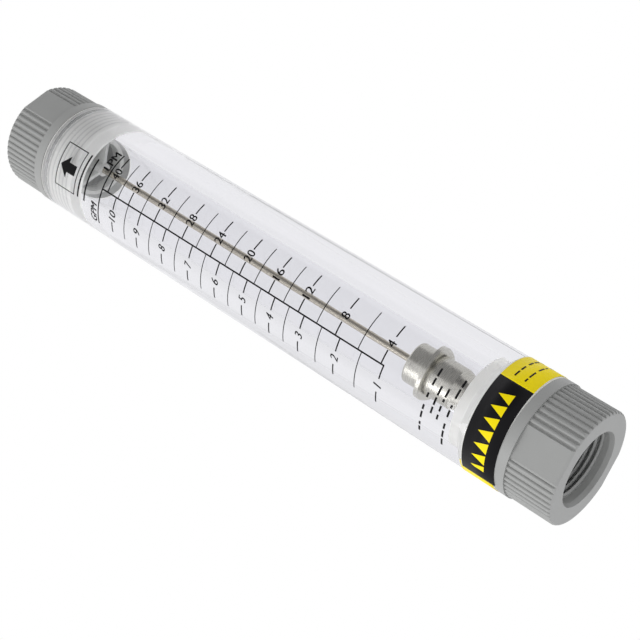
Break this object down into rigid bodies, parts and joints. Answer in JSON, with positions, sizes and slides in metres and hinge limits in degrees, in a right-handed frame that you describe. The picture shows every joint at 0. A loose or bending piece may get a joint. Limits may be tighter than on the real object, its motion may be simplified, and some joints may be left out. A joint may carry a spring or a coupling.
{
  "type": "rotameter",
  "caption": "Inline variable-area flow meter: clear tapered tube between ribbed threaded end caps, with a spool float that slides on a central guide rod.",
  "frame": {"origin": "centre of the inlet face, where the meter stands", "axes": "+Z along the flow from inlet to outlet; the printed scale faces -Y"},
  "size_m": [0.042, 0.042, 0.26],
  "materials": {
    "clear_acrylic": "clear, polished",
    "grey_plastic": "moulded, fine satin",
    "pale_plastic": "moulded, satin",
    "seal_rubber": "smooth, pale grey silicone",
    "rod_steel": "ground bright",
    "float_steel": "turned bright"
  },
  "bodies": {
    "meter": {"meter_body": "clear_acrylic", "inlet_cap": "grey_plastic", "outlet_cap": "grey_plastic", "inlet_rod_holder": "pale_plastic", "outlet_rod_holder": "pale_plastic", "inlet_seal_ring": "seal_rubber", "outlet_seal_ring": "seal_rubber", "guide_rod": "rod_steel"},
    "float_body": {"float": "float_steel"}
  },
  "joints": [
    {"name": "float_slide", "type": "slide", "parent": "meter", "child": "float_body", "axis": [0, 0, 1], "range_m": [-0.0083, 0.1544]}
  ]
}
